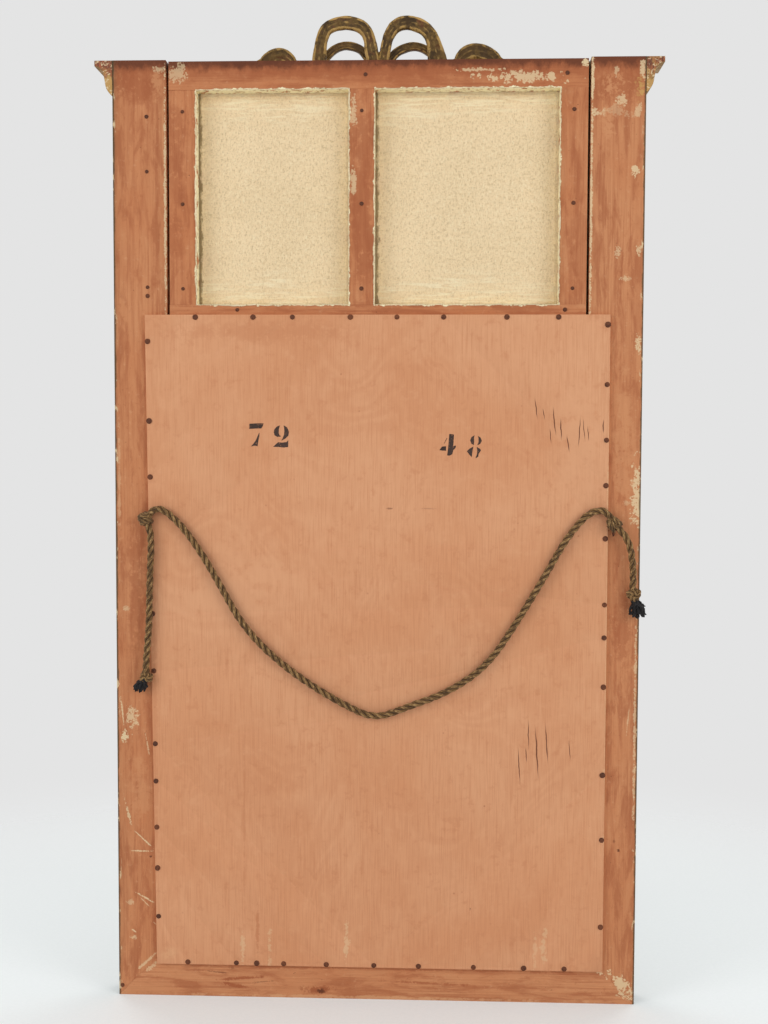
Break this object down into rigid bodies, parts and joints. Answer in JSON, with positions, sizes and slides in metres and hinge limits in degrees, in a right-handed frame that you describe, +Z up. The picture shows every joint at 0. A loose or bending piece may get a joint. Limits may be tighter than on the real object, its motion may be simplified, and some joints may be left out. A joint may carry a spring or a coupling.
{
  "type": "trumeau mirror",
  "caption": "Tall wall mirror in a gilded frame with a painted canvas panel above the glass, a cornice with a ribbon bow, a plywood back and a slack hanging rope",
  "frame": {"origin": "middle of the underside of the bottom rail, halfway through the frame's thickness", "axes": "+Z is up; the front (mirror and painting) faces -Y, the back with its rope faces +Y; X runs along the width, left as seen from the front is -X"},
  "size_m": [0.63, 0.0707, 1.116],
  "materials": {
    "frame_wood": "softwood with a red-brown wash behind and old olive paint on its front and sides",
    "strainer_wood": "softwood with a worn red-brown wash",
    "canvas": "primed linen canvas, scumbled in front",
    "plywood": "bare plywood, toned pinkish brown by age",
    "mirror_glass": "old silvered glass",
    "block_wood": "rough softwood",
    "gilded_wood": "worn gilding over red bole and gesso",
    "gilded_carving": "carved wood, worn gilding over ochre",
    "old_iron": "rusted iron",
    "rope": "three-strand laid rope, grey-brown",
    "tarred_rope": "frayed rope end, blackened"
  },
  "bodies": {
    "root": {"left_stile": "frame_wood", "right_stile": "frame_wood", "bottom_rail": "frame_wood", "mid_rail": "frame_wood", "top_rail": "frame_wood", "strainer_top_bar": "strainer_wood", "strainer_bottom_bar": "strainer_wood", "strainer_left_bar": "strainer_wood", "strainer_middle_bar": "strainer_wood", "strainer_right_bar": "strainer_wood", "painting_canvas": "canvas", "canvas_tacks": "old_iron", "strainer_nails": "old_iron", "frame_nails": "old_iron", "mirror_plate": "mirror_glass", "glazing_blocks": "block_wood", "backboard": "plywood", "backboard_nails": "old_iron", "mirror_moulding_left": "gilded_wood", "mirror_moulding_right": "gilded_wood", "mirror_moulding_foot": "gilded_wood", "mirror_moulding_head": "gilded_wood", "painting_moulding_left": "gilded_wood", "painting_moulding_right": "gilded_wood", "painting_moulding_foot": "gilded_wood", "painting_moulding_head": "gilded_wood", "edge_moulding_left": "gilded_wood", "edge_moulding_right": "gilded_wood", "edge_moulding_foot": "gilded_wood", "cornice_front": "gilded_wood", "cornice_return_left": "gilded_wood", "cornice_return_right": "gilded_wood", "ribbon_loop_left": "gilded_carving", "ribbon_loop_right": "gilded_carving", "ribbon_tail_left": "gilded_carving", "ribbon_tail_right": "gilded_carving", "bow_knot": "gilded_carving", "screw_eye_left": "old_iron", "screw_eye_right": "old_iron", "eye_knot_left": "rope", "eye_knot_right": "rope", "rope_swag": "rope", "rope_tail_left": "rope", "rope_tail_right": "rope", "end_knot_left": "rope", "end_knot_right": "rope", "rope_tuft_left": "tarred_rope", "rope_tuft_right": "tarred_rope"}
  },
  "joints": []
}
